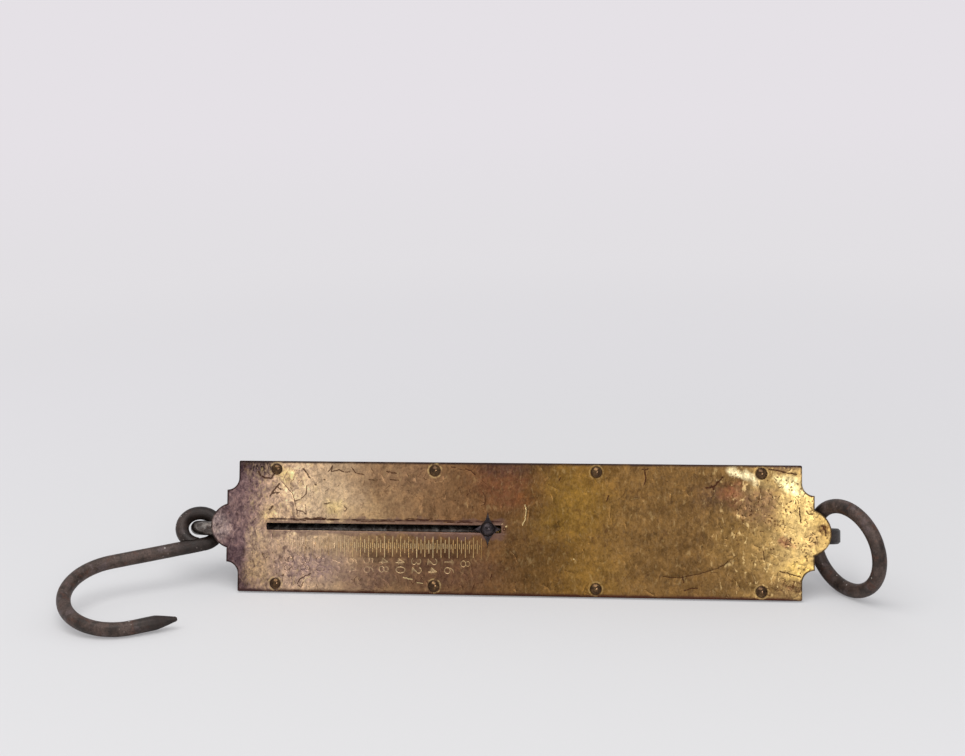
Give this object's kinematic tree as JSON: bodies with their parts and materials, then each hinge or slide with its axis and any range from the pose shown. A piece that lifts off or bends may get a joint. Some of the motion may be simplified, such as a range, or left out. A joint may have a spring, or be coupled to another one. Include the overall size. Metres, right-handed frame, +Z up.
{
  "type": "spring scale",
  "caption": "Antique straight spring balance with a brass face on a folded iron case, a slotted scale with a star pointer, a linked hook and a hanging ring.",
  "frame": {"origin": "on the surface that the balance stands on, under the middle of the long lower edge of the face's flange", "axes": "+X along the balance from the hook towards the ring, +Y from the face to the back of the case, +Z up; the face leans back by 18.5 degrees"},
  "size_m": [0.4504, 0.1188, 0.071],
  "materials": {
    "face_brass": "aged brass sheet with brown and mauve tarnish",
    "plug_brass": "turned brass, dull",
    "rivet_bronze": "dark bronze, domed heads",
    "case_iron": "blackened iron sheet, light rust",
    "forged_iron": "dark forged iron",
    "hook_iron": "brown-black iron, worn smooth",
    "pointer_iron": "dark polished steel",
    "worn_steel": "worn bare steel, dull",
    "spring_steel": "oiled spring steel wire"
  },
  "bodies": {
    "case": {"face_plate": "face_brass", "face_rivets": "rivet_bronze", "back_case": "case_iron", "top_block": "forged_iron", "guide_block": "forged_iron", "block_rivets": "worn_steel", "hanger_eye": "forged_iron", "hanger_washer": "worn_steel", "hanger_nut": "worn_steel", "top_spring_plug": "plug_brass", "main_spring": "spring_steel"},
    "draw": {"draw_rod": "worn_steel", "bottom_spring_plug": "plug_brass", "draw_washer": "worn_steel", "draw_nut": "worn_steel", "pointer_stem": "worn_steel", "pointer_star": "pointer_iron", "pointer_button": "pointer_iron"},
    "ring": {"hang_ring": "hook_iron"},
    "hook": {"load_hook": "hook_iron"}
  },
  "joints": [
    {"name": "draw_slide", "type": "slide", "parent": "case", "child": "draw", "axis": [-1, 0, 0], "range_m": [0, 0.1245], "stiffness_N_per_m": 3900, "deforming": ["main_spring"]},
    {"name": "ring_swing", "type": "hinge", "parent": "case", "child": "ring", "pos_m": [0.1677, 0.02476, 0.02863], "axis": [0, 0.3172, 0.9484], "range_deg": [-2, 150]},
    {"name": "hook_swing", "type": "hinge", "parent": "draw", "child": "hook", "pos_m": [-0.176, 0.02476, 0.02863], "axis": [0, 0.3172, 0.9484], "range_deg": [-150, 50]}
  ]
}
